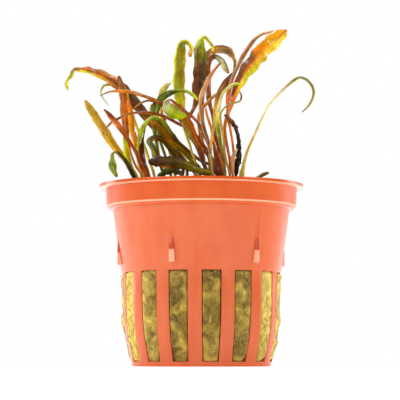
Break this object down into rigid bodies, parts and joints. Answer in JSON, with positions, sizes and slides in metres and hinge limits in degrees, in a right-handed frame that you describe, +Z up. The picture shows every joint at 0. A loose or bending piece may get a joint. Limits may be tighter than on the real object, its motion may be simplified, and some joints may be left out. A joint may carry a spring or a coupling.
{
  "type": "potted cryptocoryne aquarium plant",
  "caption": "Small cryptocoryne water plant with green, bronze and brown leaves, rooted in rock wool in a round slotted orange net pot.",
  "frame": {"origin": "centre of the underside of the pot's base", "axes": "+Z up along the pot's axis, -Y towards the front as pictured, +X to the right"},
  "size_m": [0.0714, 0.056, 0.0954],
  "materials": {
    "pot": "satin orange plastic",
    "wool": "damp mineral fibre",
    "crown": "matte",
    "leaf_brown": "moist satin",
    "leaf_dark": "moist satin",
    "leaf_olive": "moist satin",
    "leaf_green": "moist satin",
    "leaf_yellow": "moist satin",
    "leaf_orange": "moist satin",
    "leaf_pink": "moist satin",
    "leaf_tan": "moist satin"
  },
  "bodies": {
    "root": {"net_pot": "pot", "rock_wool": "wool", "crown_left": "crown", "crown_left_front": "crown", "crown_back": "crown", "crown_middle": "crown", "crown_front": "crown", "crown_right": "crown", "leaf_upright_brown": "leaf_brown", "leaf_yellow_strap": "leaf_orange", "leaf_orange_point": "leaf_orange", "leaf_red_diagonal": "leaf_brown", "leaf_yellow_green": "leaf_green", "leaf_folded_olive": "leaf_olive", "leaf_straight_yellow": "leaf_yellow", "leaf_dark_red": "leaf_dark", "leaf_green_curl": "leaf_green", "leaf_left_arch": "leaf_brown", "leaf_thin_arch_green": "leaf_green", "leaf_green_arch": "leaf_green", "leaf_small_pale": "leaf_tan", "leaf_hanging_striped": "leaf_olive", "leaf_wide_amber": "leaf_brown", "leaf_tall_olive": "leaf_yellow", "leaf_tall_dark": "leaf_dark", "leaf_low_olive": "leaf_olive", "leaf_long_brown_arch": "leaf_brown", "leaf_silver_fold": "leaf_green", "leaf_pink_edge": "leaf_pink", "leaf_thin_red_arch": "leaf_brown", "leaf_orange_branch": "leaf_orange", "leaf_purple_brown": "leaf_brown", "leaf_hooked_brown": "leaf_dark", "stalk_cut": "leaf_orange", "leaf_tendril": "leaf_tan", "leaf_green_hanging": "leaf_green", "leaf_thin_yellow_green": "leaf_green", "leaf_pink_strap": "leaf_pink", "leaf_large_orange": "leaf_orange", "sheath_papery": "leaf_tan", "leaf_decayed": "leaf_dark", "leaf_right_loop": "leaf_yellow", "leaf_amber_strap": "leaf_brown", "leaf_dark_strap": "leaf_olive", "leaf_dark_curl": "leaf_olive", "sheath_brown": "leaf_brown", "leaf_tip_at_rim": "leaf_olive", "leaf_tan_hood": "leaf_tan"}
  },
  "joints": []
}
